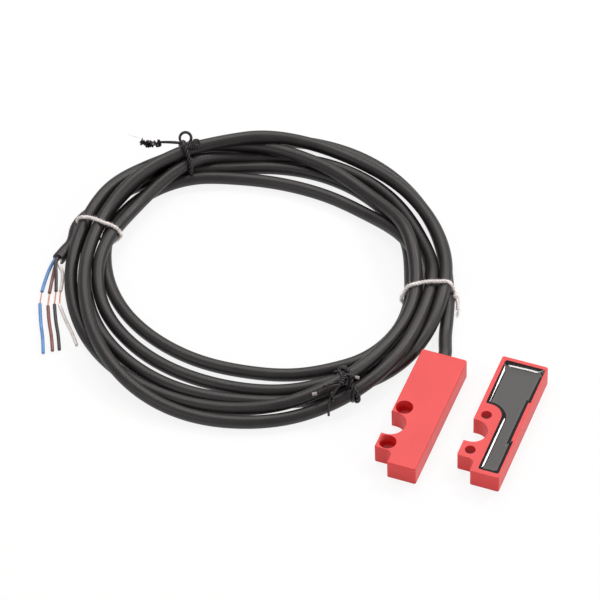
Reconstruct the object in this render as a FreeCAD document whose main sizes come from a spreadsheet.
import FreeCAD, Part
import math
import os
import re

import Sketcher

# Non contact safety switch: a reed switch and its coded magnet actuator in matching low housings,
# with the switch's own four core cable wound into a coil and its end stripped.
#
# Frame: the origin is on the axis of the switch's front screw hole, at the level of its back face.
# +Y runs along the housing to the cable, +X to the straight sensing side, +Z out of the label face.

DOCUMENT = FreeCAD.newDocument("safety_switch")
V = FreeCAD.Vector
UP = V(0, 0, 1)

# Driving dimensions

SIZES = {
    "housing": {
        "body_length": 51.0,        # front end to cable end
        "body_width": 16.0,         # slotted side to sensing side
        "body_height": 7.0,         # back face to label face
        "nose_edge": 6.1,           # slotted side to the start of the narrower nose
        "nose_depth": 5.0,          # how far the nose stands in front of the ear
        "nose_fillet": 2.0,
        "corner_round": 0.6,
        "tail_round": 1.1,          # rounder corner between sensing side and cable end
        "face_round": 0.3,          # round of the label face's rim
    },
    "screws": {
        "screw_edge": 3.4,          # slotted side to the line of the screw holes
        "screw_front": 8.4,         # front end to the front screw hole
        "screw_pitch": 16.0,
        "screw_bore": 3.5,          # clearance for an M3 screw
        "head_bore": 5.8,           # counterbore for the screw head
        "head_depth": 3.8,
    },
    "notch": {
        "notch_middle": 16.5,       # front end to the notch's centre line
        "notch_radius": 4.85,
        "notch_run": 1.5,           # straight stretch before the round end
    },
    "cavity": {
        "slot_wall": 1.45,          # wall on the slotted side
        "end_wall": 1.3,            # wall at the cable end
        "front_wall": 1.6,
        "sensing_wall": 0.7,        # thin wall that the sensing field passes through
        "land_wall": 1.4,           # thicker stretch in the middle of the sensing side
        "land_front": 16.4,
        "land_back": 34.0,
        "face_wall": 1.2,           # wall under the label face
        "boss_wall": 2.05,          # plastic left round the rear screw head
        "cavity_round": 0.7,
    },
    "potting": {
        "resin_drop": 0.15,         # resin stands this far below the rim
        "dish_depth": 0.4,          # how far the resin sinks between the walls
        "dish_edge": 0.75,          # width of the edge that creeps up the walls
        "dish_round": 0.35,
    },
    "board": {
        "board_depth": 3.6,         # cavity floor to the circuit board's underside
        "board_thickness": 0.8,
        "board_boss_gap": 0.65,     # boss round the rear screw to the board
        "board_land_gap": 0.5,      # land of the sensing side to the board
        "board_front_gap": 2.9,     # front wall to the board
        "board_end_gap": 4.7,       # board to the wall at the cable end
        "wing_left": 4.7,           # wider end of the board, where the cores are soldered
        "wing_boss_gap": 0.65,
        "core_seat": 4.0,           # how far each core lies on the board
        "board_gap": 0.1,           # reed switches and cores stand this far off the board
    },
    "reeds": {
        "glass_diameter": 2.0,
        "glass_length": 11.0,
        "glass_wall": 0.35,
        "reed_inset": 1.7,          # land of the sensing side to the line of the reed switches
        "front_reed_gap": 10.9,     # front wall to the middle of the front reed switch
        "rear_reed_gap": 14.7,      # middle of the rear one to the wall at the cable end
        "lead_diameter": 0.5,
        "lead_length": 1.3,
        "blade_width": 0.9,
        "blade_thickness": 0.2,
        "blade_overlap": 0.8,
        "contact_gap": 0.12,
    },
    "small_parts": {
        "bias_width": 2.2,
        "bias_length": 5.0,
        "bias_height": 2.0,
        "bias_inset": 0.4,          # edge of the board to the bias magnet
        "bias_front": 21.0,
        "resistor_width": 1.6,
        "resistor_length": 0.8,
        "resistor_height": 0.45,
        "resistor_inset": 0.4,      # edges of the board's wing to the resistors
        "resistor_pitch": 2.0,
        "joint_radius": 0.6,
        "joint_height": 1.2,
    },
    "actuator": {
        "actuator_right": 26.3,     # switch to actuator, across
        "actuator_back": 5.8,       # switch to actuator, along
        "magnet_boss_gap": 1.95,    # boss round the rear screw to the magnets
        "magnet_land_gap": 0.3,     # magnets to the land of the sensing side
        "magnet_height": 3.2,
        "magnet_length": 8.0,
        "first_magnet_gap": 7.4,    # front wall to the middle of the first magnet
        "second_magnet_gap": 22.4,
        "third_magnet_gap": 7.7,    # middle of the third one to the wall at the other end
    },
    "cable": {
        "cable_diameter": 4.5,
        "cable_across": 7.4,        # slotted side to the cable's axis in the end wall
        "jacket_seat": 3.2,         # how far the jacket reaches past the wall into the resin
        "core_diameter": 1.2,
        "inner_core": 1.0,          # the same cores where they lie flat on the board
        "strand_diameter": 0.8,     # bundle of bare copper
    },
    "coil": {
        "coil_across": -69.4,       # origin to the coil's middle
        "coil_along": 60.6,
        "coil_height": 8.4,         # two layers of cable
        "coil_lift": 0.3,           # the ties under the coil hold it this far off the surface
        "coil_round": 2.8,
    },
    "ties": {
        "string_diameter": 1.2,
        "twist_diameter": 1.3,
        "tie_corner": 2.6,
        "eye_radius": 2.4,          # eye that the top twist tie ends in
        "knot_radius": 1.9,
    },
}

sheet = DOCUMENT.addObject("Spreadsheet::Sheet", "spec")
row = 1
for group, sizes in SIZES.items():
    sheet.set("A%d" % row, group)
    row += 1
    for alias, size in sizes.items():
        sheet.set("A%d" % row, alias)
        sheet.set("B%d" % row, str(size))
        sheet.setAlias("B%d" % row, alias)
        row += 1
DOCUMENT.recompute()


def linked(formula):
    """The formula with each size name turned into a reference to its cell."""
    return re.sub(r"[a-z_]{3,}", lambda name: "spec." + name.group(0), formula)


def value(formula):
    """What a formula of size names comes to, in millimetres."""
    result = sheet.evalExpression(linked(formula))
    return float(getattr(result, "Value", result))


def bind(thing, formulas):
    for prop, formula in formulas.items():
        thing.setExpression(prop, linked(formula))


def place(thing, across, along, up):
    bind(thing, {"Placement.Base.x": across, "Placement.Base.y": along, "Placement.Base.z": up})


# The two housings are drawn from their own front corner and stand beside each other like this.
SWITCH_CORNER = ("0 - screw_edge", "0 - screw_front")
ACTUATOR_CORNER = ("actuator_right - screw_edge", "actuator_back - screw_front")


def from_corner(corner, across, along):
    """A place given from a housing's corner, as formulas in the part's frame."""
    return "%s + %s" % (corner[0], across), "%s + %s" % (corner[1], along)


# Sketches and features

def new_body(label, corner):
    body = DOCUMENT.addObject("PartDesign::Body", label)
    place(body, corner[0], corner[1], "0 * body_height")
    return body


def new_sketch(body, name, role="XY_Plane", level="0 * body_height"):
    plane = [item for item in body.Origin.OriginFeatures if item.Role == role][0]
    sketch = body.newObject("Sketcher::SketchObject", name)
    sketch.AttachmentSupport = (plane, [""])
    sketch.MapMode = "FlatFace"
    sketch.setExpression("AttachmentOffset.Base.z", linked(level))
    return sketch


def pin_point(sketch, geometry, end, across, along):
    """Ties one point of a sketch to the origin by two formulas."""
    for kind, axis, formula in (("DistanceX", -2, across), ("DistanceY", -1, along)):
        if formula == "0":
            sketch.addConstraint(Sketcher.Constraint("PointOnObject", geometry, end, axis))
        else:
            size = value(formula)
            index = sketch.addConstraint(Sketcher.Constraint(kind, -1, 1, geometry, end, size))
            sketch.setExpression("Constraints[%d]" % index, linked(formula))


def draw_outline(sketch, corners, arcs=None):
    """Closed outline through corners given as formulas; an edge in arcs is a left-hand arc or,
    with a turn of -1, a right-hand one."""
    arcs = arcs or {}
    count = len(corners)
    points = [V(value(across), value(along), 0) for across, along in corners]
    first_ends = []
    last_ends = []
    for i in range(count):
        start = points[i]
        stop = points[(i + 1) % count]
        if i not in arcs:
            sketch.addGeometry(Part.LineSegment(start, stop), False)
            first_ends.append(1)
            last_ends.append(2)
            continue
        radius, turn = arcs[i]
        chord = stop - start
        left = V(-chord.y, chord.x, 0).normalize()
        reach = math.sqrt(value(radius) ** 2 - (chord.Length / 2) ** 2)
        centre = (start + stop) * 0.5 + left * (turn * reach)
        circle = Part.Circle(centre, UP, value(radius))
        angles = [math.atan2(p.y - centre.y, p.x - centre.x) for p in (start, stop)]
        if turn < 0:
            angles.reverse()
        sketch.addGeometry(Part.ArcOfCircle(circle, angles[0], angles[1]), False)
        first_ends.append(1 if turn > 0 else 2)
        last_ends.append(2 if turn > 0 else 1)
    for i in range(count):
        after = (i + 1) % count
        joint = Sketcher.Constraint("Coincident", i, last_ends[i], after, first_ends[after])
        sketch.addConstraint(joint)
        pin_point(sketch, i, first_ends[i], *corners[i])
    for i, (radius, _) in arcs.items():
        index = sketch.addConstraint(Sketcher.Constraint("Radius", i, value(radius)))
        sketch.setExpression("Constraints[%d]" % index, linked(radius))


def draw_circle(sketch, across, along, radius):
    circle = Part.Circle(V(value(across), value(along), 0), UP, value(radius))
    geometry = sketch.addGeometry(circle, False)
    pin_point(sketch, geometry, 3, across, along)
    index = sketch.addConstraint(Sketcher.Constraint("Radius", geometry, value(radius)))
    sketch.setExpression("Constraints[%d]" % index, linked(radius))


def pad(body, sketch, name, height):
    feature = body.newObject("PartDesign::Pad", name)
    feature.Profile = sketch
    bind(feature, {"Length": height})
    return feature


def pocket(body, sketch, name, depth, along_normal=False):
    feature = body.newObject("PartDesign::Pocket", name)
    feature.Profile = sketch
    feature.Reversed = along_normal
    bind(feature, {"Length": depth})
    return feature


def round_edges(body, name, radius, wanted):
    """Rounds the edges of the body so far that the test picks."""
    DOCUMENT.recompute()
    base = body.Tip
    names = ["Edge%d" % (n + 1) for n, edge in enumerate(base.Shape.Edges) if wanted(edge)]
    feature = body.newObject("PartDesign::Fillet", name)
    feature.Base = (base, names)
    bind(feature, {"Radius": radius})
    return feature


def upright_at(corners):
    """Picks upright edges at corners given as formulas."""
    spots = [(value(across), value(along)) for across, along in corners]

    def wanted(edge):
        ends = [vertex.Point for vertex in edge.Vertexes]
        if len(ends) != 2 or abs(ends[0].z - ends[1].z) < 0.1:
            return False
        return any(all(math.hypot(p.x - x, p.y - y) < 0.01 for p in ends) for x, y in spots)
    return wanted


def rim_at(level, skip_radius=None):
    """Picks the edges that lie at one level, apart from full circles of one radius."""
    height = value(level)

    def wanted(edge):
        if any(abs(vertex.Z - height) > 0.001 for vertex in edge.Vertexes):
            return False
        return skip_radius is None or edge.BoundBox.DiagonalLength > 2.9 * value(skip_radius)
    return wanted


# Moulded housing

SENSING_INNER = "body_width - sensing_wall"
LAND_INNER = "body_width - land_wall"
CAVITY_END = "body_length - end_wall"
REAR_SCREW = "screw_front + screw_pitch"
BOSS_RADIUS = "head_bore / 2 + boss_wall"
CHANNEL_LEFT = "screw_edge + " + BOSS_RADIUS
BOSS_TOP = REAR_SCREW + " + " + BOSS_RADIUS
CAVITY_DEPTH = "body_height - face_wall"
CABLE_LEVEL = "body_height / 2"
JACKET_INSIDE = CAVITY_END + " - jacket_seat"


def cavity_corners(inset="0 * dish_edge"):
    """The cavity's outline from the slotted side round the boss, down the channel and back; the
    inset draws the same outline that much smaller."""
    return [
        ("slot_wall + " + inset, BOSS_TOP + " + " + inset),
        ("screw_edge", BOSS_TOP + " + " + inset),
        (CHANNEL_LEFT + " + " + inset, REAR_SCREW),
        (CHANNEL_LEFT + " + " + inset, "front_wall + " + inset),
        (SENSING_INNER + " - " + inset, "front_wall + " + inset),
        (SENSING_INNER + " - " + inset, "land_front - " + inset),
        (LAND_INNER + " - " + inset, "land_front - " + inset),
        (LAND_INNER + " - " + inset, "land_back + " + inset),
        (SENSING_INNER + " - " + inset, "land_back + " + inset),
        (SENSING_INNER + " - " + inset, CAVITY_END + " - " + inset),
        ("slot_wall + " + inset, CAVITY_END + " - " + inset),
    ]


def cavity_arcs(inset="0 * dish_edge"):
    return {1: (BOSS_RADIUS + " + " + inset, -1)}


def cavity_rounds():
    """The upright corners of the cavity that the mould rounds off."""
    corners = cavity_corners()
    return corners[:1] + corners[3:5] + corners[9:]


def housing(label, corner, has_cable):
    """One housing, label face up, open at its back."""
    body = new_body(label, corner)

    outer = new_sketch(body, label + "_outline")
    draw_outline(outer, [
        ("0", "nose_depth"),
        ("nose_edge", "nose_depth"),
        ("nose_edge", "0"),
        ("body_width", "0"),
        ("body_width", "body_length"),
        ("0", "body_length"),
    ])
    pad(body, outer, label + "_block", "body_height")

    round_edges(body, label + "_nose_fillet", "nose_fillet",
                upright_at([("nose_edge", "nose_depth")]))
    round_edges(body, label + "_tail_corner", "tail_round",
                upright_at([("body_width", "body_length")]))
    round_edges(body, label + "_corners", "corner_round", upright_at([
        ("0 * body_width", "nose_depth"), ("nose_edge", "0 * body_width"),
        ("body_width", "0 * body_width"), ("0 * body_width", "body_length")]))

    slot = new_sketch(body, label + "_notch_mouth", level="body_height")
    draw_outline(slot, [
        ("0", "notch_middle - notch_radius"),
        ("notch_run", "notch_middle - notch_radius"),
        ("notch_run", "notch_middle + notch_radius"),
        ("0", "notch_middle + notch_radius"),
    ])
    pocket(body, slot, label + "_notch_run", "body_height")
    slot_end = new_sketch(body, label + "_notch_circle", level="body_height")
    draw_circle(slot_end, "notch_run", "notch_middle", "notch_radius")
    pocket(body, slot_end, label + "_notch_end", "body_height")
    round_edges(body, label + "_face_rim", "face_round", rim_at("body_height"))

    for name, along in (("front", "screw_front"), ("rear", REAR_SCREW)):
        bore = new_sketch(body, "%s_%s_bore" % (label, name), level="body_height")
        draw_circle(bore, "screw_edge", along, "screw_bore / 2")
        pocket(body, bore, "%s_%s_screw_hole" % (label, name), "body_height")
        head = new_sketch(body, "%s_%s_head" % (label, name), level="body_height")
        draw_circle(head, "screw_edge", along, "head_bore / 2")
        pocket(body, head, "%s_%s_counterbore" % (label, name), "head_depth")

    inner = new_sketch(body, label + "_cavity_outline")
    draw_outline(inner, cavity_corners(), cavity_arcs())
    pocket(body, inner, label + "_cavity", CAVITY_DEPTH, along_normal=True)
    round_edges(body, label + "_cavity_corners", "cavity_round", upright_at(cavity_rounds()))

    if has_cable:
        # The upright plane faces the front, so a level behind it is negative.
        entry = new_sketch(body, label + "_entry", role="XZ_Plane", level="0 - body_length")
        draw_circle(entry, "cable_across", CABLE_LEVEL, "cable_diameter / 2")
        pocket(body, entry, label + "_cable_entry", "end_wall", along_normal=True)
    return body


def resin(label, corner):
    """The set resin that fills a housing's cavity, with a dished face."""
    body = new_body(label, corner)
    fill = new_sketch(body, label + "_outline", level="resin_drop")
    draw_outline(fill, cavity_corners(), cavity_arcs())
    pad(body, fill, label + "_fill", CAVITY_DEPTH + " - resin_drop")
    round_edges(body, label + "_corners", "cavity_round", upright_at(cavity_rounds()))
    dish = new_sketch(body, label + "_dish_outline", level="resin_drop")
    draw_outline(dish, cavity_corners("dish_edge"), cavity_arcs("dish_edge"))
    pocket(body, dish, label + "_dish", "dish_depth", along_normal=True)
    round_edges(body, label + "_dish_floor", "dish_round", rim_at("resin_drop + dish_depth"))
    return body


# Primitives placed from a housing's corner

def box(label, corner, across, along, up, width, length, height):
    thing = DOCUMENT.addObject("Part::Box", label)
    bind(thing, {"Length": width, "Width": length, "Height": height})
    at = from_corner(corner, across, along)
    place(thing, at[0], at[1], up)
    return thing


def rod(label, corner, across, start, up, radius, length):
    """Round bar along +Y."""
    thing = DOCUMENT.addObject("Part::Cylinder", label)
    thing.Placement.Rotation = FreeCAD.Rotation(V(1, 0, 0), -90)
    bind(thing, {"Radius": radius, "Height": length})
    at = from_corner(corner, across, start)
    place(thing, at[0], at[1], up)
    return thing


def joined(label, things):
    thing = DOCUMENT.addObject("Part::MultiFuse", label)
    thing.Shapes = things
    return thing


def cut_by(label, base, tools):
    thing = DOCUMENT.addObject("Part::Cut", label)
    thing.Base = base
    thing.Tool = tools[0] if len(tools) == 1 else joined(label + "_tools", tools)
    return thing


# Circuit board of the switch, and what is soldered on it

BOARD_BACK = CAVITY_DEPTH + " - board_depth"
BOARD_TOP = BOARD_BACK + " + board_thickness"
BOARD_LEFT = CHANNEL_LEFT + " + board_boss_gap"
BOARD_RIGHT = LAND_INNER + " - board_land_gap"
BOARD_FRONT = "front_wall + board_front_gap"
BOARD_END = CAVITY_END + " - board_end_gap"
WING_FRONT = BOSS_TOP + " + wing_boss_gap"
CORE_END = BOARD_END + " - core_seat"
REED_HEIGHT = BOARD_TOP + " + board_gap + glass_diameter / 2"
REED_LINE = LAND_INNER + " - reed_inset"
FRONT_REED = "front_wall + front_reed_gap"
REAR_REED = CAVITY_END + " - rear_reed_gap"


def circuit_board(corner):
    strip = box("board_strip", corner, BOARD_LEFT, BOARD_FRONT, BOARD_BACK,
                "%s - (%s)" % (BOARD_RIGHT, BOARD_LEFT), "%s - (%s)" % (BOARD_END, BOARD_FRONT),
                "board_thickness")
    wing = box("board_wing", corner, "wing_left", WING_FRONT, BOARD_BACK,
               BOARD_LEFT + " - wing_left", "%s - (%s)" % (BOARD_END, WING_FRONT),
               "board_thickness")
    return joined("circuit_board", [strip, wing])


def reed_switch(name, corner, middle):
    """Sealed glass tube with two springy blades that overlap in its middle."""
    glass_start = middle + " - glass_length / 2"
    envelope = rod(name + "_envelope", corner, REED_LINE, glass_start, REED_HEIGHT,
                   "glass_diameter / 2", "glass_length")
    room = rod(name + "_room", corner, REED_LINE, glass_start + " + 3 * glass_wall",
               REED_HEIGHT, "glass_diameter / 2 - glass_wall", "glass_length - 6 * glass_wall")
    blades = []
    for side, sign in (("front", "-"), ("back", "+")):
        lift = "%s %s (contact_gap + blade_thickness) / 2" % (REED_HEIGHT, sign)
        wire_length = "lead_length + 5 * glass_wall"
        if side == "front":
            wire_start = glass_start + " - lead_length"
            blade_start = glass_start + " + 5 * glass_wall"
        else:
            wire_start = middle + " + glass_length / 2 - 5 * glass_wall"
            blade_start = middle + " - blade_overlap / 2"
        wire = rod("%s_%s_wire" % (name, side), corner, REED_LINE, wire_start, REED_HEIGHT,
                   "lead_diameter / 2", wire_length)
        blade = box("%s_%s_blade" % (name, side), corner, REED_LINE + " - blade_width / 2",
                    blade_start, lift + " - blade_thickness / 2", "blade_width",
                    "glass_length / 2 - 5 * glass_wall + blade_overlap / 2", "blade_thickness")
        blades.append(joined("%s_%s_lead" % (name, side), [wire, blade]))
    pair = DOCUMENT.addObject("Part::Compound", name + "_blades")
    pair.Links = blades
    glass = cut_by(name + "_glass", envelope, [room, blades[0], blades[1]])
    return envelope, glass, pair


def solder_joints(corner, spots, through):
    cones = []
    for n, (across, along) in enumerate(spots):
        cone = DOCUMENT.addObject("Part::Cone", "joint_%d" % (n + 1))
        bind(cone, {"Radius1": "joint_radius", "Radius2": "joint_radius / 2",
                    "Height": "joint_height"})
        at = from_corner(corner, across, along)
        place(cone, at[0], at[1], BOARD_TOP)
        cones.append(cone)
    heap = DOCUMENT.addObject("Part::Compound", "joint_heap")
    heap.Links = cones
    return cut_by("solder_joints", heap, through)


# Cords as plain tubes

def rounded_path(route):
    """Straight runs through the route's points, joined by arcs as large as both runs allow."""
    edges = []
    radii = []
    last = route[0]
    for before, here, after in zip(route, route[1:], route[2:]):
        back = (before - here).normalize()
        ahead = (after - here).normalize()
        turn = math.pi - back.getAngle(ahead)
        shorter = min((here - before).Length, (after - here).Length)
        setback = 0.45 * shorter
        radius = setback / math.tan(turn / 2)
        centre_way = (back + ahead).normalize()
        middle = here + centre_way * (radius / math.cos(turn / 2) - radius)
        start = here + back * setback
        stop = here + ahead * setback
        edges.append(Part.LineSegment(last, start).toShape())
        edges.append(Part.Arc(start, middle, stop).toShape())
        radii.append(round(radius, 1))
        last = stop
    edges.append(Part.LineSegment(last, route[-1]).toShape())
    return Part.Wire(edges), radii


def tube_shape(label, route, diameter):
    """Round tube along a route, with its volume compared with section times length."""
    path, radii = rounded_path(route)
    ahead = (route[1] - route[0]).normalize()
    ring = Part.Wire(Part.Circle(route[0], ahead, diameter / 2).toShape())
    shape = path.makePipeShell([ring], True, False)
    expected = math.pi * diameter ** 2 / 4 * path.Length
    print("%s: %.1f mm long, bend radii %s, volume ratio %.4f"
          % (label, path.Length, radii, shape.Volume / expected))
    if abs(shape.Volume / expected - 1) > 0.01:
        raise RuntimeError(label + " lost part of its volume")
    return shape


def feature(label, shape):
    thing = DOCUMENT.addObject("Part::Feature", label)
    thing.Shape = shape
    return thing


# Radius of the bundle's outside and of its inside, every 30 degrees round from +Y: the turns are
# pulled together at the string ties and fan out at the front and back.
COIL_OUTSIDE = (69.6, 68.8, 70.0, 67.8, 66.3, 66.9, 71.0, 70.0, 66.8, 68.0, 66.6, 68.0)
ARC_TOLERANCE = 0.15
COIL_INSIDE = (41.3, 44.2, 50.0, 51.8, 48.2, 42.8, 41.6, 45.0, 52.2, 51.9, 50.2, 43.8)


def coil_block(radii, low, high):
    """Upright block about the coil's middle, its outline a smooth row of tangent arcs."""
    points = []
    for n, radius in enumerate(radii):
        angle = 2 * math.pi * n / len(radii)
        points.append(V(value("coil_across") - radius * math.sin(angle),
                        value("coil_along") + radius * math.cos(angle), low))
    curve = Part.BSplineCurve()
    curve.interpolate(Points=points, PeriodicFlag=True)
    arcs = [arc.toShape() for arc in curve.toBiArcs(ARC_TOLERANCE)]
    return Part.Face(Part.Wire(Part.__sortEdges__(arcs))).extrude(UP * (high - low))


def coil_shape():
    """Outer shape of the wound cable: a low ring with rounded edges."""
    low = value("coil_lift")
    high = low + value("coil_height")
    ring = coil_block(COIL_OUTSIDE, low, high).cut(coil_block(COIL_INSIDE, low, high))
    rims = [edge for edge in ring.Edges if edge.Vertexes[0].Z == edge.Vertexes[-1].Z]
    return ring.makeFillet(value("coil_round"), rims)


def tie_path(inner, outer, half_thick):
    """Rounded rectangle that goes round the bundle between two floor points."""
    low = half_thick
    high = value("coil_lift + coil_height") + half_thick
    round_off = value("tie_corner")
    along = (outer - inner).normalize()

    def at(reach, level):
        base = inner if reach < 0 else outer
        return V(base.x, base.y, level) + along * (reach * half_thick)

    def inward(point, reach, level):
        return point - along * (reach * round_off), point + UP * (level * round_off)

    corners = [(at(1, low), 1, 1), (at(1, high), 1, -1), (at(-1, high), -1, -1), (at(-1, low), -1, 1)]
    edges = []
    legs = []
    for corner, reach, level in corners:
        flat, upright = inward(corner, reach, level)
        centre = flat + UP * (level * round_off)
        middle = centre + (corner - centre).normalize() * round_off
        ends = (flat, upright) if reach * level > 0 else (upright, flat)
        legs.append(ends)
        edges.append(Part.Arc(ends[0], middle, ends[1]).toShape())
    for n in range(4):
        edges.append(Part.LineSegment(legs[n][1], legs[(n + 1) % 4][0]).toShape())
    return Part.Wire(Part.__sortEdges__(edges))


def tie_shape(inner, outer, diameter):
    path = tie_path(inner, outer, diameter / 2)
    start = path.OrderedVertexes[0].Point
    first = path.OrderedEdges[0]
    way = first.tangentAt(first.FirstParameter)
    ring = Part.Wire(Part.Circle(start, way, diameter / 2).toShape())
    shape = path.makePipeShell([ring], True, False)
    print("tie between (%.0f, %.0f) and (%.0f, %.0f): volume ratio %.4f"
          % (inner.x, inner.y, outer.x, outer.y,
             shape.Volume / (math.pi * diameter ** 2 / 4 * path.Length)))
    return shape


def bar(start, stop, diameter):
    way = stop - start
    return Part.makeCylinder(diameter / 2, way.Length, start, way)


# Switch

switch_housing = housing("switch_housing", SWITCH_CORNER, has_cable=True)
switch_resin = resin("switch_resin", SWITCH_CORNER)
board = circuit_board(SWITCH_CORNER)
front_tube, front_glass, front_blades = reed_switch("front_reed_switch", SWITCH_CORNER,
                                                    FRONT_REED)
rear_tube, rear_glass, rear_blades = reed_switch("rear_reed_switch", SWITCH_CORNER, REAR_REED)
bias_magnet = box("bias_magnet", SWITCH_CORNER, BOARD_LEFT + " + bias_inset", "bias_front",
                  BOARD_TOP, "bias_width", "bias_length", "bias_height")
resistors = []
for n in range(2):
    resistors.append(box("board_resistor_%d" % (n + 1), SWITCH_CORNER,
                         "wing_left + resistor_inset + %d * resistor_pitch" % n,
                         WING_FRONT + " + resistor_inset", BOARD_TOP,
                         "resistor_width", "resistor_length", "resistor_height"))

CORES = ("blue", "brown", "black", "white")
CORE_SPREAD = "1.06 * inner_core"
inner_cores = []
core_spots = []
for n, colour in enumerate(CORES):
    across = "cable_across + (%.1f) * %s" % (n - 1.5, CORE_SPREAD)
    inner_cores.append(rod("inner_core_" + colour, SWITCH_CORNER, across, CORE_END,
                           BOARD_TOP + " + board_gap + inner_core / 2", "inner_core / 2",
                           "%s - (%s)" % (JACKET_INSIDE, CORE_END)))
    core_spots.append((across, CORE_END))
reed_spots = []
for middle in (FRONT_REED, REAR_REED):
    for sign in ("-", "+"):
        along = "%s %s (glass_length / 2 + lead_length - joint_radius)" % (middle, sign)
        reed_spots.append((REED_LINE, along))
core_joints = [(across, along + " - joint_radius / 2") for across, along in core_spots[::3]]
solder = solder_joints(SWITCH_CORNER, reed_spots + core_joints,
                       [front_blades, rear_blades] + inner_cores)

switch_insides = [board, front_glass, front_blades, rear_glass, rear_blades, bias_magnet,
                  resistors[0], resistors[1], solder] + inner_cores

# Cable: the lead out of the switch, the coil, and the stripped end

cable_diameter = value("cable_diameter")
exit_across = value("cable_across - screw_edge")
exit_up = value(CABLE_LEVEL)
jacket_start = value(JACKET_INSIDE + " - screw_front")
LEAD_ROUTE = [
    V(exit_across, jacket_start, exit_up),
    V(exit_across, 45.0, exit_up),
    V(2.0, 50.2, 2.8),
    V(0.2, 55.4, 2.3),
    V(-1.2, 60.6, 2.25),
    V(-3.9, 68.6, 2.25),
    V(-7.3, 76.4, 2.25),
]
TAIL_ROUTE = [
    V(-131.5, 62.6, 2.25),
    V(-133.1, 57.6, 2.3),
    V(-135.2, 53.0, 2.35),
    V(-136.4, 48.4, 2.4),
    V(-136.9, 44.2, 2.5),
]
footprint = coil_block(COIL_OUTSIDE, -cable_diameter, 4 * cable_diameter)
lead_shape = tube_shape("cable_lead", LEAD_ROUTE, cable_diameter).cut(footprint)
tail_shape = tube_shape("cable_tail", TAIL_ROUTE, cable_diameter).cut(footprint)

# Where each tie goes round the bundle: its inner and outer place, as floor points.
STRING_LEFT = (V(-120.0, 59.0, 0), V(-137.4, 60.4, 0))
STRING_RIGHT = (V(-17.9, 64.2, 0), V(-2.3, 71.2, 0))
TWIST_TOP = (V(-109.3, 96.5, 0), V(-118.8, 109.1, 0))
TWIST_LOW = (V(-26.2, 25.0, 0), V(-16.6, 15.6, 0))
TWIST_TAIL = V(-15.0, -1.6, 0.9)
TWIST_END = V(-3.0, -6.4, 0)
string = value("string_diameter")
twist = value("twist_diameter")
string_left = tie_shape(*STRING_LEFT, string)
string_right = tie_shape(*STRING_RIGHT, string)
twist_top = tie_shape(*TWIST_TOP, twist)
twist_low = tie_shape(*TWIST_LOW, twist)

# The top twist tie ends in an upright eye and a twisted tail, the lower one in two short ends.
tie_axis = UP * value("coil_lift + coil_height + twist_diameter / 2")
eye_radius = value("eye_radius")
eye_foot = TWIST_TOP[0] * 0.35 + TWIST_TOP[1] * 0.65 + tie_axis
eye_way = (TWIST_TOP[1] - TWIST_TOP[0]).normalize().cross(UP)
eye_rise = UP * (eye_radius + 0.35 * twist)
eye = Part.makeTorus(eye_radius, twist / 2, eye_foot + eye_rise, eye_way)
twist_tail = bar(eye_foot, eye_foot + TWIST_TAIL, twist)
twist_top = twist_top.fuse([eye, twist_tail]).removeSplitter()
knot_middle = (TWIST_LOW[0] + TWIST_LOW[1]) * 0.5 + tie_axis
knot = Part.makeSphere(value("knot_radius"), knot_middle)
knot_end = bar(knot_middle, knot_middle + TWIST_END, twist)
twist_low = twist_low.fuse([knot, knot_end]).removeSplitter()

coil = coil_shape()
for tie in (string_left, string_right, twist_top, twist_low):
    coil = coil.cut(tie)

# Cores of the stripped end, from the jacket's end face to their pulled-off sleeves

core_diameter = value("core_diameter")
strand = value("strand_diameter")
jacket_end = TAIL_ROUTE[-1]
jacket_way = (TAIL_ROUTE[-1] - TAIL_ROUTE[-2]).normalize()
jacket_side = jacket_way.cross(UP).normalize()
jacket_up = jacket_side.cross(jacket_way)
core_run_out = 2.2
floor_core = core_diameter / 2 + 0.05
# Seat of each core in the jacket, its bend on the way down, where its sleeve was cut, where the
# loose sleeve starts and where that ends.
SEAT = 0.95
CORE_ROUTES = {
    "blue": ((SEAT, 0), V(-138.3, 36.8, 0.9), V(-136.8, 29.6, 0), V(-135.0, 24.0, 0),
             V(-124.6, 3.6, 0)),
    "brown": ((0, -SEAT), V(-136.2, 37.4, 0.7), V(-134.1, 29.9, 0), V(-132.0, 24.0, 0),
              V(-122.1, 5.6, 0)),
    "black": ((0, SEAT), V(-134.8, 37.6, 2.0), V(-132.3, 31.4, 0), V(-130.2, 25.4, 0),
              V(-120.1, 6.8, 0)),
    "white": ((-SEAT, 0), V(-132.6, 39.4, 1.3), V(-130.9, 32.0, 0), V(-128.6, 26.0, 0),
              V(-115.4, 10.6, 0)),
}
core_shapes = {}
strand_shapes = {}
sleeve_shapes = {}
for colour, (seat, bend, cut_at, sleeve_start, sleeve_end) in CORE_ROUTES.items():
    start = jacket_end + jacket_side * seat[0] + jacket_up * seat[1]
    points = [start, start + jacket_way * core_run_out, bend, V(cut_at.x, cut_at.y, floor_core)]
    sleeve_from = V(sleeve_start.x, sleeve_start.y, floor_core)
    sleeve_to = V(sleeve_end.x, sleeve_end.y, floor_core)
    core_shapes[colour] = tube_shape("core_" + colour, points, core_diameter)
    sleeve_shapes[colour] = bar(sleeve_from, sleeve_to, core_diameter)
    wire = bar(points[-1], sleeve_from, strand)
    strand_shapes[colour] = wire.cut(core_shapes[colour]).cut(sleeve_shapes[colour])

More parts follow.
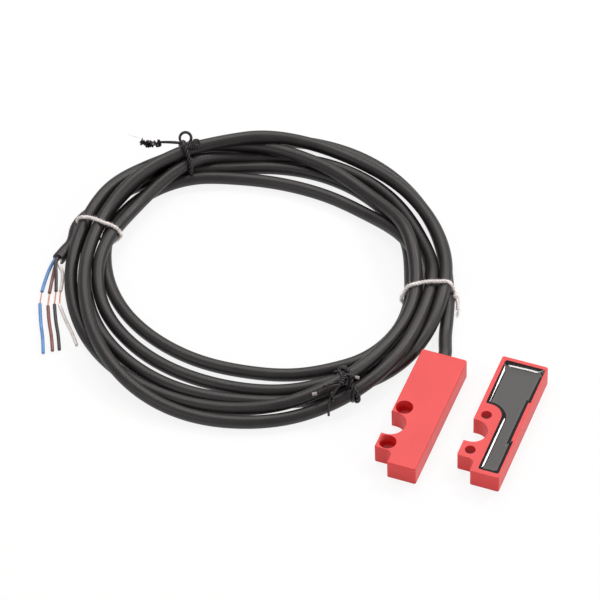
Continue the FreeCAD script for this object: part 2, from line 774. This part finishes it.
cable_lead = feature("cable_lead", lead_shape)
cable_coil = feature("cable_coil", coil)
cable_tail = feature("cable_tail", tail_shape)
cord_pieces = [cable_lead, cable_coil, cable_tail]
cord_pieces += [feature("string_tie_left", string_left), feature("string_tie_right", string_right)]
cord_pieces += [feature("twist_tie_top", twist_top), feature("twist_tie_low", twist_low)]
for colour in CORES:
    cord_pieces.append(feature("core_" + colour, core_shapes[colour]))
    cord_pieces.append(feature("copper_" + colour, strand_shapes[colour]))
    cord_pieces.append(feature("loose_sleeve_" + colour, sleeve_shapes[colour]))

switch_potting = cut_by("switch_potting", switch_resin,
                        switch_insides + [front_tube, rear_tube, cable_lead])

# Actuator: a mirrored housing that lies on its label face, drawn upright and mirrored

actuator_mould = housing("actuator_mould", ACTUATOR_CORNER, has_cable=False)
actuator_resin = resin("actuator_resin", ACTUATOR_CORNER)
MAGNET_LEFT = CHANNEL_LEFT + " + magnet_boss_gap"
MAGNET_WIDTH = "%s - magnet_land_gap - (%s)" % (LAND_INNER, MAGNET_LEFT)
MAGNET_MIDDLES = {"first": "front_wall + first_magnet_gap",
                  "second": "front_wall + second_magnet_gap",
                  "third": CAVITY_END + " - third_magnet_gap"}
magnet_moulds = []
for name, middle in MAGNET_MIDDLES.items():
    magnet_moulds.append(box(name + "_magnet_block", ACTUATOR_CORNER, MAGNET_LEFT,
                             middle + " - magnet_length / 2", CAVITY_DEPTH + " - magnet_height",
                             MAGNET_WIDTH, "magnet_length", "magnet_height"))
actuator_fill = cut_by("actuator_fill", actuator_resin, magnet_moulds)


def mirrored(label, source):
    thing = DOCUMENT.addObject("Part::Mirroring", label)
    thing.Source = source
    thing.Normal = UP
    bind(thing, {"Base.z": "body_height / 2"})
    return thing


actuator_pieces = [mirrored("actuator_housing", actuator_mould),
                   mirrored("actuator_potting", actuator_fill)]
for name, mould in zip(("front", "middle", "rear"), magnet_moulds):
    actuator_pieces.append(mirrored("%s_coded_magnet" % name, mould))

# Checks and files

DOCUMENT.recompute()

pieces = [switch_housing, switch_potting] + switch_insides + cord_pieces + actuator_pieces

for thing in DOCUMENT.Objects:
    if "Invalid" in thing.State or "Error" in thing.State:
        raise RuntimeError("%s failed: %s" % (thing.Label, thing.State))
    if thing.TypeId == "PartDesign::Pocket":
        before = thing.BaseFeature.Shape.Volume
        if thing.Shape.Volume > before - 0.01:
            raise RuntimeError(thing.Label + " cuts nothing")

for piece in pieces:
    if piece.Shape.isNull() or not piece.Shape.isValid() or not piece.Shape.Solids:
        raise RuntimeError(piece.Label + " has no valid shape")

os.makedirs("parts", exist_ok=True)
for piece in pieces:
    piece.Shape.exportStep("parts/%s.step" % piece.Label)
    room = piece.Shape.BoundBox
    print("%-28s %d solid(s) %9.1f mm3  x %.1f..%.1f  y %.1f..%.1f  z %.2f..%.2f" % (
        piece.Label, len(piece.Shape.Solids), piece.Shape.Volume,
        room.XMin, room.XMax, room.YMin, room.YMax, room.ZMin, room.ZMax))
